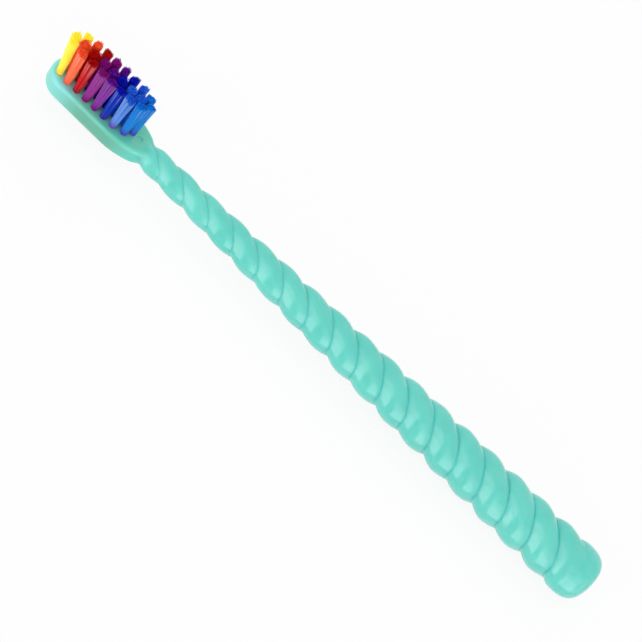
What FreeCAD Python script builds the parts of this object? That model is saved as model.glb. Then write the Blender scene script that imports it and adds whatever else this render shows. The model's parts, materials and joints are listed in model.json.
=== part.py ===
"""Manual toothbrush with a rope-twist handle.

The handle, neck and head are one moulding. The head holds 25 tufts of filaments in blind holes, in
two outer columns of 8 and a middle column of 9 set half a pitch along. Each tuft is folded round a
small metal plate that is driven into the bottom of its hole and bites into the wall on both sides.

Frame: +X from the head to the butt, +Z the way the bristles point, +Y to the right when looking
from the butt towards the head. The near column of tufts is on the -Y side. The origin lies under
the middle of the brush, on the surface that it lies on.
"""
import FreeCAD, Part
import math
import os
import Sketcher

# Driving dimensions in millimetres. Names that end in share are plain ratios.
SIZES = (
    # The whole brush
    ("overall_length", 170.0),
    ("overrun", 0.5),
    ("clearance", 0.02),
    # The twisted handle
    ("butt_crest_radius", 6.93),
    ("butt_end_radius", 6.6),
    ("butt_groove_depth", 1.2),
    ("butt_fade_length", 7.0),
    ("dome_length", 4.4),
    ("gate_radius", 0.8),
    ("neck_crest_radius", 3.32),
    ("neck_groove_depth", 0.66),
    ("groove_spacing", 7.82),
    ("first_groove_setback", 1.8),
    ("taper_start_share", 0.72),
    ("taper_end_share", 0.1),
    ("groove_sway_share", 0.333),
    ("groove_trim_share", 0.0333),
    ("groove_alternate_share", 0.2),
    ("groove_phase_share", 1.8),
    # The nose of the handle, buried in the head
    ("nose_radius", 1.5),
    ("nose_length", 9.2),
    ("nose_groove_share", 0.6),
    # The head
    ("head_length", 29.4),
    ("head_width", 10.8),
    ("head_thickness", 4.7),
    ("face_rise", 2.0),
    ("neck_taper_length", 9.7),
    ("neck_end_radius", 2.2),
    ("rim_radius", 0.7),
    ("back_radius", 1.2),
    ("ejector_radius", 0.9),
    ("ejector_depth", 0.12),
    ("ejector_setback", 3.33),
    # The tufts
    ("hole_radius", 0.88),
    ("hole_depth", 3.0),
    ("tuft_height", 11.0),
    ("tuft_top_radius", 1.16),
    ("tuft_tip_radius", 0.92),
    ("tuft_tip_rounding", 0.35),
    ("row_setback", 2.7),
    ("row_gap", 0.51),
    ("column_gap", 0.36),
    ("tuft_gap", 0.05),
    ("first_row_inset", 0.45),
    ("tip_lean", 1.0),
    # The plates that hold the tufts
    ("plate_length", 2.1),
    ("plate_thickness", 0.3),
    ("plate_height", 1.5),
    ("fold_height", 0.5),
)
OUTER_TUFTS = 8
# How far the first tufts of a column lean towards the tip, as shares of tip_lean.
LEAN_SHARES = {"near": (1.0, 0.7, 0.3), "middle": (1.0, 0.6, 0.25), "far": ()}

# How finely the twisted surface is sampled before it is interpolated.
ROWS_PER_GROOVE = 12
COLUMNS = 13
DOME_ROWS = 9
STRAND_FACES = 9

doc = FreeCAD.newDocument("toothbrush")
sheet = doc.addObject("Spreadsheet::Sheet", "sizes")
for line, (alias, value) in enumerate(SIZES, start=1):
    sheet.set(f"A{line}", alias)
    sheet.set(f"B{line}", str(value))
    sheet.setAlias(f"B{line}", alias)
doc.recompute()
size = {alias: float(sheet.get(alias)) for alias, _ in SIZES}

# Places along the brush and heights, as formulas of the sheet's cells.
TIP_X = "(-sizes.overall_length / 2)"
NECK_X = f"({TIP_X} + sizes.head_length)"
AXIS_Z = "sizes.butt_crest_radius"
FACE_Z = f"({AXIS_Z} + sizes.face_rise)"
HOLE_Z = f"({FACE_Z} - sizes.hole_depth)"
# The tufts' tops set how far apart the tufts stand: along a column, between columns, and where two
# tufts all but touch.
PITCH = "(2 * sizes.tuft_top_radius + sizes.row_gap)"
COLUMN = "(2 * sizes.tuft_top_radius + sizes.column_gap)"
TOUCH = "(2 * sizes.tuft_top_radius + sizes.tuft_gap)"


def bind(thing, **formulas):
    """Tie properties of one object to the sheet; double underscores stand for dots."""
    for name, formula in formulas.items():
        thing.setExpression(name.replace("__", "."), str(formula))
    return thing


def place(thing, x="0", y="0", z="0"):
    """Tie one object's position to the sheet."""
    return bind(thing, Placement__Base__x=x, Placement__Base__y=y, Placement__Base__z=z)


def smooth(value):
    """A step from 0 to 1 with level ends."""
    value = min(max(value, 0.0), 1.0)
    return value * value * (3 - 2 * value)


# The twisted handle: a surface of radius over the distance along the axis and the angle round it.
tip_x = -size["overall_length"] / 2
neck_x = tip_x + size["head_length"]
first_groove_x = neck_x + size["first_groove_setback"]
dome_x = -tip_x - size["dome_length"]


def groove_x(turn):
    """Where a groove is along the axis once it has gone round by this angle from the top.

    Seen from above the grooves run nearly straight across each half of the mould, so they go
    round quickly at the two sides and slowly over the top and the back.
    """
    sway = size["groove_sway_share"] * math.sin(2 * turn)
    trim = size["groove_trim_share"] * math.sin(4 * turn)
    return first_groove_x + size["groove_spacing"] / math.pi * (turn + sway - trim)


def groove_turn(x):
    """The angle of the groove at this distance along the axis, found by halving."""
    low = (x - first_groove_x) / size["groove_spacing"] * math.pi - math.pi
    high = low + 2 * math.pi
    while high - low > 1e-10:
        middle = (low + high) / 2
        low, high = (middle, high) if groove_x(middle) < x else (low, middle)
    return low


def crest_radius(x):
    """The radius over the crests of the strands, from the nose in the head to the dome."""
    along = min(max((x - neck_x) / (dome_x - neck_x), 0.0), 1.0)
    start = size["taper_start_share"] * along * (1 - along) ** 2
    end = size["taper_end_share"] * along ** 2 * (1 - along)
    grown = smooth(along) + start - end
    radius = size["neck_crest_radius"]
    radius += (size["butt_crest_radius"] - size["neck_crest_radius"]) * grown
    faded = max(0.0, 1 - (dome_x - x) / size["butt_fade_length"])
    radius -= (size["butt_crest_radius"] - size["butt_end_radius"]) * faded ** 2
    nose = smooth((x - groove_x(-math.pi)) / size["nose_length"])
    return size["nose_radius"] + (radius - size["nose_radius"]) * nose


def groove_depth(x):
    """How far the grooves lie below the crests; every other one bites deeper, and both ends fade."""
    along = (x - neck_x) / (dome_x - neck_x)
    depth = size["neck_groove_depth"]
    depth += (size["butt_groove_depth"] - size["neck_groove_depth"]) * smooth(along)
    pace = (x - first_groove_x) / size["groove_spacing"] - size["groove_phase_share"]
    depth *= 1 + size["groove_alternate_share"] * math.cos(math.pi * pace)
    depth *= smooth((dome_x - x) / size["butt_fade_length"])
    nose_end = groove_x(-math.pi) + size["nose_length"]
    return depth * smooth(1 - (nose_end - x) / (size["nose_length"] * size["nose_groove_share"]))


def strand_row(x, turn):
    """One cross-section of a strand, from the groove behind it to the groove ahead of it."""
    row = []
    for column in range(COLUMNS):
        angle = turn - math.pi + math.pi * column / (COLUMNS - 1)
        across = (groove_x(turn) - groove_x(angle)) / size["groove_spacing"]
        radius = crest_radius(x) - groove_depth(x) * (2 * across - 1) ** 2
        row.append(FreeCAD.Vector(x, -radius * math.sin(angle), radius * math.cos(angle)))
    return row


def dome_row(step):
    """One cross-section of the domed butt: an ellipse quarter that stops at the gate mark."""
    last = math.acos(size["gate_radius"] / size["butt_end_radius"])
    lift = last * step / DOME_ROWS
    x = dome_x + size["dome_length"] * math.sin(lift) / math.sin(last)
    turn = groove_turn(x)
    row = []
    for column in range(COLUMNS):
        angle = turn - math.pi + math.pi * column / (COLUMNS - 1)
        radius = size["butt_end_radius"] * math.cos(lift)
        row.append(FreeCAD.Vector(x, -radius * math.sin(angle), radius * math.cos(angle)))
    return row


def half_turned(face):
    """A copy of a face, turned half round the handle's axis."""
    twin = face.copy()
    twin.rotate(FreeCAD.Vector(0, 0, 0), FreeCAD.Vector(1, 0, 0), 180)
    return twin


def end_disc(faces, x):
    """The flat disc that closes two half-round faces at one end."""
    rim = []
    for edge in (edge for face in faces for edge in face.Edges):
        box = edge.BoundBox
        if max(abs(box.XMin - x), abs(box.XMax - x)) < size["clearance"]:
            rim.append(edge)
    return Part.Face(Part.Wire(Part.__sortEdges__(rim)))


def twisted_handle():
    """The solid of the twist: one strand, its twin half a turn on, and a flat disc at each end.

    The strand's second edge is its first one turned half round, so that the twins meet exactly,
    and the strand is cut into faces of a few turns each.
    """
    last_turn = groove_turn(dome_x)
    count = round((last_turn + math.pi) / math.pi * ROWS_PER_GROOVE)
    step = (last_turn + math.pi) / count
    turns = [-math.pi + step * row for row in range(count + 1)]
    rows = [strand_row(groove_x(turn), turn) for turn in turns]
    rows += [dome_row(row) for row in range(1, DOME_ROWS + 1)]
    surface = Part.BSplineSurface()
    surface.interpolate(rows)
    for row in range(1, surface.NbUPoles + 1):
        pole = surface.getPole(row, 1)
        surface.setPole(row, surface.NbVPoles, FreeCAD.Vector(pole.x, -pole.y, -pole.z))
    along, across = surface.getUKnots(), surface.getVKnots()
    breaks = [round(count * part / STRAND_FACES) for part in range(STRAND_FACES + 1)]
    breaks.append(len(along) - 1)
    faces = []
    for first, last in zip(breaks, breaks[1:]):
        stretch = surface.copy()
        stretch.segment(along[first], along[last], across[0], across[-1])
        faces += [stretch.toShape(), half_turned(stretch.toShape())]
    discs = [end_disc(faces[:2], rows[0][0].x), end_disc(faces[-2:], rows[-1][0].x)]
    shell = Part.makeShell(faces + discs)
    shell.sewShape()
    solid = Part.makeSolid(shell)
    if solid.Volume < 0:
        solid.reverse()
    return solid


handle = doc.addObject("Part::Feature", "twisted_handle")
handle.Shape = twisted_handle()
place(handle, z=AXIS_Z)


def head_blade():
    """The head: a flat blade with a round tip, drawn in towards the neck by two arcs."""
    body = doc.addObject("PartDesign::Body", "head_blade")
    plane = next(f for f in body.Origin.OriginFeatures if f.Role == "XY_Plane")
    outline = body.newObject("Sketcher::SketchObject", "head_outline")
    outline.AttachmentSupport = (plane, "")
    outline.MapMode = "FlatFace"
    half, end_radius = size["head_width"] / 2, size["neck_end_radius"]
    end_x, taper = size["head_length"], size["neck_taper_length"]
    blade = end_x - taper
    sweep = (taper ** 2 + half ** 2 - end_radius ** 2) / (2 * (half - end_radius))
    turn = math.atan2(taper, sweep - half)
    up = FreeCAD.Vector(0, 0, 1)

    def point(x, y):
        return FreeCAD.Vector(x, y, 0)

    def arc(centre, radius, start, stop):
        return outline.addGeometry(Part.ArcOfCircle(Part.Circle(centre, up, radius), start, stop))

    def line(start, stop):
        return outline.addGeometry(Part.LineSegment(start, stop))

    quarter = math.pi / 2
    tip = arc(point(half, 0), half, quarter, 3 * quarter)
    far = line(point(half, half), point(blade, half))
    near = line(point(half, -half), point(blade, -half))
    far_neck = arc(point(blade, half - sweep), sweep, quarter - turn, quarter)
    near_neck = arc(point(blade, sweep - half), sweep, -quarter, turn - quarter)
    end = arc(point(end_x, 0), end_radius, turn - quarter, quarter - turn)

    def rule(*facts):
        return outline.addConstraint(Sketcher.Constraint(*facts))

    rule("PointOnObject", tip, 3, -1)
    rule("Tangent", tip, 1, far, 1)
    rule("Tangent", tip, 2, near, 1)
    rule("Tangent", far, 2, far_neck, 2)
    rule("Tangent", near, 2, near_neck, 1)
    rule("Tangent", far_neck, 1, end, 2)
    rule("Tangent", near_neck, 2, end, 1)
    rule("Horizontal", far)
    rule("Horizontal", near)
    rule("PointOnObject", end, 3, -1)
    rule("Equal", far, near)
    measures = (
        (rule("Radius", tip, half), "sizes.head_width / 2"),
        (rule("DistanceX", -1, 1, tip, 3, half), "sizes.head_width / 2"),
        (rule("DistanceX", -1, 1, far, 2, blade), "sizes.head_length - sizes.neck_taper_length"),
        (rule("Radius", end, end_radius), "sizes.neck_end_radius"),
        (rule("DistanceX", -1, 1, end, 3, end_x), "sizes.head_length"),
    )
    for index, formula in measures:
        outline.setExpression(f"Constraints[{index}]", formula)
    pad = body.newObject("PartDesign::Pad", "head_pad")
    pad.Profile = outline
    bind(pad, Length="sizes.head_thickness")
    doc.recompute()
    round_edges(body, pad, "back_edge", 0.0, "sizes.back_radius")
    round_edges(body, body.Tip, "face_rim", size["head_thickness"], "sizes.rim_radius")
    return place(body, x=TIP_X, z=f"({FACE_Z} - sizes.head_thickness)")


def round_edges(body, base, name, level, radius):
    """Round the outline's edges at one level of the blade."""
    names = []
    for number, edge in enumerate(base.Shape.Edges, start=1):
        box = edge.BoundBox
        if abs(box.ZMin - level) < size["clearance"] and abs(box.ZMax - level) < size["clearance"]:
            names.append(f"Edge{number}")
    rounding = body.newObject("PartDesign::Fillet", name)
    rounding.Base = (base, names)
    bind(rounding, Radius=radius)
    doc.recompute()
    return rounding


blade = head_blade()


def tuft_places():
    """Where the tufts stand: the column, the place in it, and formulas for x and y.

    The middle column is half a pitch along from the outer ones. At the tip its first tuft moves in
    between the first outer two, and towards the neck the last outer two draw in to touch it.
    """
    row = f"{TIP_X} + sizes.row_setback"
    first_y = f"({COLUMN} - sizes.first_row_inset)"
    last_y = f"sqrt({TOUCH} ^ 2 - ({PITCH} / 2) ^ 2)"
    drawn_in = {0: first_y, OUTER_TUFTS - 1: last_y}
    for column, side in (("near", "-"), ("far", "")):
        for index in range(OUTER_TUFTS):
            y = drawn_in.get(index, COLUMN)
            yield column, index, f"({row} + {index} * {PITCH})", f"({side}{y})"
    lead = f"sqrt(max(0; {TOUCH} ^ 2 - {first_y} ^ 2))"
    yield "middle", 0, f"({row} - {lead})", "0"
    for index in range(1, OUTER_TUFTS + 1):
        yield "middle", index, f"({row} + ({index} - 1 / 2) * {PITCH})", "0"


def ring(name, radius, x, y, z):
    """A level circle, one section of a tuft."""
    return place(bind(doc.addObject("Part::Circle", name), Radius=radius), x, y, z)


def plate(name, x, y, room="0"):
    """A flat plate on edge at the bottom of a hole, with room on both of its broad sides."""
    box = doc.addObject("Part::Box", name)
    bind(box, Length="sizes.plate_length", Width=f"sizes.plate_thickness + 2 * {room}")
    bind(box, Height="sizes.plate_height")
    left = f"{x} - sizes.plate_length / 2"
    front = f"{y} - sizes.plate_thickness / 2 - {room}"
    return place(box, left, front, f"{HOLE_Z} + sizes.fold_height")


def tuft(name, x, y, lean):
    """A tuft: straight in its hole, then spreading and leaning, with a trimmed round top."""
    top = f"({FACE_Z} + sizes.tuft_height)"
    root = "sizes.hole_radius - sizes.clearance"
    leaning = f"{x} - {lean} * sizes.tip_lean"
    sections = [
        ring(f"{name}_fold", root, x, y, HOLE_Z),
        ring(f"{name}_mouth", root, x, y, FACE_Z),
        ring(f"{name}_shoulder", "sizes.tuft_top_radius", leaning, y,
             f"{top} - sizes.tuft_tip_rounding"),
        ring(f"{name}_tip", "sizes.tuft_tip_radius", leaning, y, top),
    ]
    bundle = doc.addObject("Part::Loft", f"{name}_bundle")
    bundle.Sections = sections
    bundle.Solid = True
    bundle.Ruled = True
    split = doc.addObject("Part::Cut", f"{name}_split")
    split.Base = bundle
    split.Tool = plate(f"{name}_slit", x, y, "sizes.clearance")
    split.Label = name
    return split


tufts, plates, cutters = [], [], []
for column, index, x, y in tuft_places():
    shares = LEAN_SHARES[column]
    lean = shares[index] if index < len(shares) else 0
    name = f"tuft_{column}_{index + 1}"
    tufts.append(tuft(name, x, y, lean))
    plates.append(plate(f"plate_{column}_{index + 1}", x, y))
    hole = doc.addObject("Part::Cylinder", f"hole_{column}_{index + 1}")
    bind(hole, Radius="sizes.hole_radius", Height="sizes.hole_depth + sizes.overrun")
    cutters += [place(hole, x, y, HOLE_Z), plate(f"bite_{column}_{index + 1}", x, y)]

# The metal plates are identical fasteners, so they share one node as separate solids.
anchor_plates = doc.addObject("Part::Compound", "anchor_plates")
anchor_plates.Links = plates
anchor_plates.Label = "anchor_plates"

# The mark of the ejector pin in the face, between the tufts and the neck.
ejector = doc.addObject("Part::Cylinder", "ejector_mark")
bind(ejector, Radius="sizes.ejector_radius", Height="sizes.ejector_depth + sizes.overrun")
place(ejector, f"{NECK_X} - sizes.ejector_setback", "0", f"{FACE_Z} - sizes.ejector_depth")
cutters.append(ejector)

# The moulding: the blade and the twist in one piece, less the holes.
moulding = doc.addObject("Part::Fuse", "moulding")
moulding.Base = blade
moulding.Tool = handle
cuts = doc.addObject("Part::MultiFuse", "tuft_holes")
cuts.Shapes = cutters
handle_body = doc.addObject("Part::Cut", "holed_moulding")
handle_body.Base = moulding
handle_body.Tool = cuts
handle_body.Label = "handle_body"
doc.recompute()

# Nothing is written unless every object came out whole.
subparts = [handle_body, anchor_plates] + tufts
for thing in doc.Objects:
    if "Invalid" in thing.State or "Error" in thing.State:
        raise RuntimeError(f"{thing.Name} failed: {thing.State}")
for thing in subparts:
    if thing.Shape.isNull() or not thing.Shape.isValid():
        raise RuntimeError(f"{thing.Label} has no valid shape")

os.makedirs("parts", exist_ok=True)
for thing in subparts:
    thing.Shape.exportStep(f"parts/{thing.Label}.step")
    print(thing.Label, len(thing.Shape.Solids), "solids", round(thing.Shape.Volume, 2), "mm3")
box = handle_body.Shape.BoundBox
print("moulding box", [round(v, 3) for v in (box.XMin, box.XMax, box.YMin, box.YMax, box.ZMin, box.ZMax)])
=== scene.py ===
"""A manual toothbrush with a rope-twist handle: its moulding, tufts, anchor plates and studio.

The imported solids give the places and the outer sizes. The moulding is one surface that is carried
from the head's tip over the blade and the neck along the twist to the domed butt. Each tuft is a
bundle of filaments that are folded double round their plate. Lengths are in metres.
"""
import json
import math

import bmesh
import bpy
import numpy as np
from bpy.props import FloatProperty, FloatVectorProperty, IntProperty, PointerProperty
from mathutils import Matrix, Vector


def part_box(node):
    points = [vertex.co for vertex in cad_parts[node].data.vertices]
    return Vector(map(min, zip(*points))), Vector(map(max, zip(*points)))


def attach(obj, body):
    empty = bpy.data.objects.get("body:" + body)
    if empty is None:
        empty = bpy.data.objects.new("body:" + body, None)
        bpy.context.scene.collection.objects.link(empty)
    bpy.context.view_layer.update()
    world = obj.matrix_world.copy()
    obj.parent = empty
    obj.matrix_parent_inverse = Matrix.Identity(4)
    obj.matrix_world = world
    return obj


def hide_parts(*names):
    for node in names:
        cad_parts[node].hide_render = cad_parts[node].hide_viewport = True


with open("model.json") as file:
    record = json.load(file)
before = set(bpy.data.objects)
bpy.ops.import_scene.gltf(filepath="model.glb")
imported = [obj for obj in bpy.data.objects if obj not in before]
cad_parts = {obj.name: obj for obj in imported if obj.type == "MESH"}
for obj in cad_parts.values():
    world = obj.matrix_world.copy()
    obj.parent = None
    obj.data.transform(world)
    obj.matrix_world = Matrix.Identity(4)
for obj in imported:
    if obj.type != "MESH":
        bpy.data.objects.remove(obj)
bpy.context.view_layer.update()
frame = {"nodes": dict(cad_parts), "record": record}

bl_info = {
    "name": "Rope-twist toothbrush",
    "version": (1, 0, 0),
    "blender": (4, 5, 0),
    "location": "3D View > Sidebar > Toothbrush",
    "description": "Dresses a toothbrush: its moulding, filament tufts, anchor plates and studio",
    "category": "Object",
}

MM = 0.001
BODY_LOW, BODY_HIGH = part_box("handle_body")
NECK_HOLD = next(mount for mount in frame["record"]["mounts"] if mount["name"] == "neck_hold")
SLOTS = {part["node"]: part["material_slot"] for part in frame["record"]["subparts"]}
TUFT_NODES = sorted(node for node in frame["nodes"] if node.startswith("tuft_"))
HUES = ("yellow", "orange", "red", "magenta", "violet", "indigo", "blue", "azure")

# How finely the moulding is sampled: columns round half of the head's section, and rows along it.
FACE_COLUMNS, RIM_COLUMNS, WALL_COLUMNS, BACK_COLUMNS, REAR_COLUMNS = 10, 10, 6, 12, 10
HALF_COLUMNS = FACE_COLUMNS + RIM_COLUMNS + WALL_COLUMNS + BACK_COLUMNS + REAR_COLUMNS
TIP_ROWS, BLADE_ROWS, NECK_ROWS, ROWS_PER_GROOVE, DOME_ROWS = 24, 10, 96, 40, 14
# How much the twist's columns crowd towards the grooves, and the steps of a search by halving.
CROWDING, HALVINGS = 0.85, 40
# The passage from the head to the twist, in setbacks of the first groove, and how much the blade
# shrinks over it.
NECK_PASS, BLADE_SHRINK = 2.5, 0.25
# Half turns, and points in each, of the table that finds where a groove meets the dome.
TABLE_TURNS, TABLE_POINTS = 64, 512
# Sides of a round hole and of a filament.
HOLE_SIDES, FILAMENT_SIDES = 32, 6
# Points closer than these count as one or as level, and edges sharper than this stay sharp.
WELD, LEVEL, SHARP = MM / 5000, MM / 100, math.radians(50)
# Share of its hole that a tuft fills beside the plate, and its share of that just above the fold.
HOLE_FILL, FOLD_FILL = 0.9, 0.6
# Heights of a filament's rings over the face as shares, the power by which it spreads with them, and
# the width of its cut end as a share.
RING_HEIGHTS, SPREAD_POWER, CUT_WIDTH = (0.3, 0.65, 0.985, 1.0), 1.1, 0.85
# Where a tuft's shaded core ends, as a share of its radius, and the width of that edge.
CORE, CORE_EDGE = 0.65, 0.25
# Tufts further than this past the middle line's ends, in spreads, stand at an end of the field.
END_REACH = 1.8
# Strength of the grooves' painted shade at the neck, as a share of that along the handle.
NECK_GROOVE_SHADE = 0.3
# Weights of the cut ends' red, green and blue in the painted glow that stands for light the dye lets
# through.
DYE_GLOW_WEIGHTS = (0.15, 0.5, 0.05)
# Where the painted reflection at the tip starts to fade and where it is gone, in widths of the head.
TIP_REFLECTION_FADE = 0.25, 1.3
# Refractive index of the plastic, and the roughness of the brass from its shiny to its dull places.
PLASTIC_INDEX, BRASS_ROUGHNESS = 1.5, (0.2, 0.4)
# Fineness of the clouds and the grain in plastic and in brass.
PLASTIC_NOISE = {"Cloud Scale": 140.0, "Grain Scale": 2600.0}
BRASS_NOISE = {"Cloud Scale": 900.0, "Grain Scale": 6000.0}
BLACK, WHITE = (0.0, 0.0, 0.0), (1.0, 1.0, 1.0)
# How far the lamps stand from the brush.
LAMP_DISTANCE = 1.2
# Soft boxes: bearing and rise, the angles that they fill, the setting for their brightness with a
# share of it, whether they light the brush, and whether they show in reflections.
SOFT_BOXES = {
    "left_strip": (-28, -5, (24, 50), "strip_light", 1.0, True, True),
    "right_strip": (31, -11, (32, 50), "strip_light", 0.9, True, True),
    "left_card": (-46, 8, (60, 76), "card_light", 1.0, False, True),
    "right_card": (50, -2, (70, 66), "card_light", 1.0, False, True),
    "left_wide": (-30, 42, (30, 40), "wide_light", 1.0, True, True),
    "right_wide": (32, 34, (34, 36), "wide_light", 0.7, True, True),
    "rear": (180, 50, (80, 50), "rear_light", 1.0, True, False),
}


# Property helpers

def linear(red, green, blue):
    """Display colour values from 0 to 255 as the linear values that the shaders read."""
    shown = np.array((red, green, blue)) / 255.0
    return tuple(np.where(shown <= 0.04045, shown / 12.92, ((shown + 0.055) / 1.055) ** 2.4))


def length(description, millimetres):
    """A property that holds a length."""
    return FloatProperty(description=description, default=millimetres * MM, unit="LENGTH", precision=5)


def share(description, value):
    """A property that holds a plain ratio."""
    return FloatProperty(description=description, default=value, subtype="FACTOR", soft_min=0.0,
                         soft_max=2.0)


def angle(description, degrees):
    """A property that holds an angle."""
    return FloatProperty(description=description, default=math.radians(degrees), subtype="ANGLE")


def colour(description, *shown):
    """A property that holds a colour, written in display values."""
    return FloatVectorProperty(description=description, default=linear(*shown), subtype="COLOR", size=3,
                               min=0.0, max=1.0)


def dye(hue, place, *shown):
    """A property that holds a tuft's colour along its side, at its cut end or at its root, where it is
    darker as painted shade by the face.
    """
    return colour(f"Colour of the {hue} filaments' {place}", *shown)


class MouldingSettings(bpy.types.PropertyGroup):
    """Sizes and colours of the head, the neck and the twisted handle."""

    tip_x: length("Where the head ends along the brush", round(BODY_LOW.x / MM, 1))
    butt_x: length("Where the handle ends along the brush", round(BODY_HIGH.x / MM, 1))
    axis_z: length("Height of the handle's axis", NECK_HOLD["pos_m"][2] / MM)
    butt_radius: length("Radius over the crests at the butt", 6.93)
    butt_end_radius: length("Radius where the dome starts", 6.8)
    butt_groove: length("Depth of the grooves at the butt", 1.2)
    butt_fade: length("Length over which the grooves fade at the butt", 4.8)
    dome_length: length("Length of the domed butt", 5.2)
    dome_crease: angle("Turn of the surface where the dome starts", 14.0)
    dome_fullness: share("1 for a round dome, less for a fuller one", 0.68)
    gate_radius: length("Radius of the flat at the end of the dome", 0.8)
    neck_radius: length("Radius over the crests at the neck", 3.32)
    neck_groove: length("Depth of the grooves at the neck", 0.66)
    groove_spacing: length("Distance from one groove to the next", 7.82)
    first_groove: length("From the head to the first groove over the top", 1.8)
    taper_start: share("Slope of the handle's taper at the neck", 0.72)
    taper_end: share("Slope of the handle's taper at the butt", 0.1)
    groove_sway: share("How much straighter the grooves run seen from above", 0.333)
    groove_trim: share("Evens out the sway between the top and the sides", 0.0333)
    groove_alternate: share("How much deeper every other groove is", 0.2)
    groove_phase: share("Which groove is the deepest", 1.8)
    groove_round: share("Rounding at the bottom of a groove", 0.02)
    crevice_width: length("Width of the crevice where two strands meet", 0.7)
    crevice_depth: length("Depth of the crevice where two strands meet", 0.03)
    nose_radius: length("Radius of the handle's end inside the head", 1.5)
    nose_length: length("Length of the handle's end inside the head", 9.2)
    nose_shift: length("How much later the nose rises out of the head", 1.0)
    nose_groove: share("Share of the nose over which the grooves fade", 0.6)
    head_length: length("From the tip to the neck", 29.4)
    head_width: length("Width of the head", 10.8)
    head_thickness: length("From the face to the back", 4.7)
    face_rise: length("Height of the head's face over the axis", 2.0)
    taper_length: length("Length over which the head narrows", 9.7)
    neck_end_radius: length("Half width of the head where it meets the neck", 2.2)
    rim_radius: length("Rounding between the face and the side", 0.9)
    back_radius: length("Rounding between the back and the side", 1.2)
    blend: length("Fillet between the head and the twist", 0.7)
    hole_radius: length("Radius of a tuft hole", 0.88)
    ejector_radius: length("Radius of the round mark on the face", 0.9)
    ejector_depth: length("Depth of the round mark on the face", 0.2)
    ejector_setback: length("From the neck to the round mark", 3.33)
    mint: colour("Colour of the plastic", 106, 210, 197)
    deep_mint: colour("Colour of the plastic where the dye is denser", 99, 206, 194)
    # Painted shade from the tufts: a greyer, greener tone on the head's side and back.
    head_mint: colour("Colour of the head's side and back", 106, 182, 160)
    # Painted light: a lighter face among the tufts, passing into painted shade from the tufts on the face
    # by the neck.
    face_mint: colour("Colour of the face among the tufts", 129, 211, 184)
    neck_mint: colour("Colour of the face by the neck", 106, 203, 176)
    # Painted reflection: a pale, bluish tone on the tip's side and face.
    tip_mint: colour("Colour of the thin plastic at the tip", 138, 222, 213)
    tip_face_mint: colour("Colour of the face at the tip", 142, 226, 232)
    # Painted shade: the deeper colour in the grooves, how far it reaches, and its strength at the ring
    # where the dome starts.
    groove_mint: colour("Colour of the plastic in the grooves", 56, 200, 194)
    groove_tint: length("How far the deep colour reaches from a groove", 0.3)
    dome_line: share("Strength of the deep colour where the dome starts", 0.2)
    glow: length("How far light scatters inside the plastic", 2.5)
    glow_tint: colour("How far each colour scatters inside the plastic", 120, 255, 245)
    soak: share("Share of the light that soaks into the plastic", 0.9)
    gloss: share("Least roughness of the plastic", 0.045)
    cloud_matt: share("Roughness that clouds in the dye add", 0.02)
    head_matt: share("Roughness that the head adds", 0.18)
    groove_matt: share("Roughness that the grooves add", 0.2)
    grain_height: length("Height of the moulded grain", 0.02)
    grain_strength: share("How much of the moulded grain shows", 0.05)


class TuftSettings(bpy.types.PropertyGroup):
    """Sizes and colours of the tufts and their plates."""

    pairs: IntProperty(description="Folded filaments in a tuft, each with two ends", default=44, min=4)
    filament_radius: length("Radius of one filament", 0.095)
    spread: length("Radius of a tuft at its trimmed top", 1.42)
    far_spread: length("Radius at the top of the far tufts and the end tufts", 1.22)
    trim_round: length("How much lower the outer filaments are trimmed", 0.03)
    unevenness: share("How far a tuft's top is from round", 0.2)
    trim_slant: length("How much lower one side of a tuft is trimmed", 0.45)
    trim_scatter: length("How unevenly the filaments are trimmed", 0.45)
    field_edge: length("Width of the outer part of the tufts that light reaches", 3.2)
    bow: length("How far filaments bend out of line", 0.045)
    # Painted glow: emission that stands for light passing through the outer filaments.
    clearness: share("Light that passes through the outer filaments", 0.17)
    matt: share("Least roughness of the filaments", 0.4)
    streak_matt: share("Roughness that pale filaments add", 0.15)
    shine: share("Strength of the filaments' reflections", 0.08)
    soak: share("Share of the light that soaks into the filaments", 0.7)
    soak_depth: length("How far light scatters inside the filaments", 0.38)
    fold_height: length("Height of the fold under the plate", 0.5)
    plate_height: length("Height of an anchor plate", 1.5)
    plate_thickness: length("Thickness of an anchor plate", 0.3)
    brass: colour("Colour of the anchor plates", 205, 178, 110)
    dull_brass: colour("Colour of the plates' duller places", 186, 161, 99)
    # Each root colour is darker than the side's as painted shade where the filaments enter the face.
    yellow_side: dye("yellow", "side", 255, 240, 80)
    yellow_end: dye("yellow", "end", 255, 240, 60)
    yellow_root: dye("yellow", "root", 245, 212, 72)
    orange_side: dye("orange", "side", 255, 120, 80)
    orange_end: dye("orange", "end", 255, 92, 42)
    orange_root: dye("orange", "root", 235, 100, 75)
    red_side: dye("red", "side", 192, 14, 20)
    red_end: dye("red", "end", 186, 0, 0)
    red_root: dye("red", "root", 150, 15, 40)
    magenta_side: dye("magenta", "side", 151, 55, 149)
    magenta_end: dye("magenta", "end", 145, 2, 130)
    magenta_root: dye("magenta", "root", 125, 20, 110)
    violet_side: dye("violet", "side", 139, 62, 158)
    violet_end: dye("violet", "end", 102, 0, 155)
    violet_root: dye("violet", "root", 120, 25, 120)
    indigo_side: dye("indigo", "side", 9, 53, 174)
    indigo_end: dye("indigo", "end", 0, 12, 190)
    indigo_root: dye("indigo", "root", 60, 40, 150)
    blue_side: dye("blue", "side", 100, 148, 220)
    blue_end: dye("blue", "end", 26, 100, 228)
    blue_root: dye("blue", "root", 110, 80, 180)
    azure_side: dye("azure", "side", 34, 128, 202)
    azure_end: dye("azure", "end", 0, 126, 230)
    azure_root: dye("azure", "root", 70, 60, 175)


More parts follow.
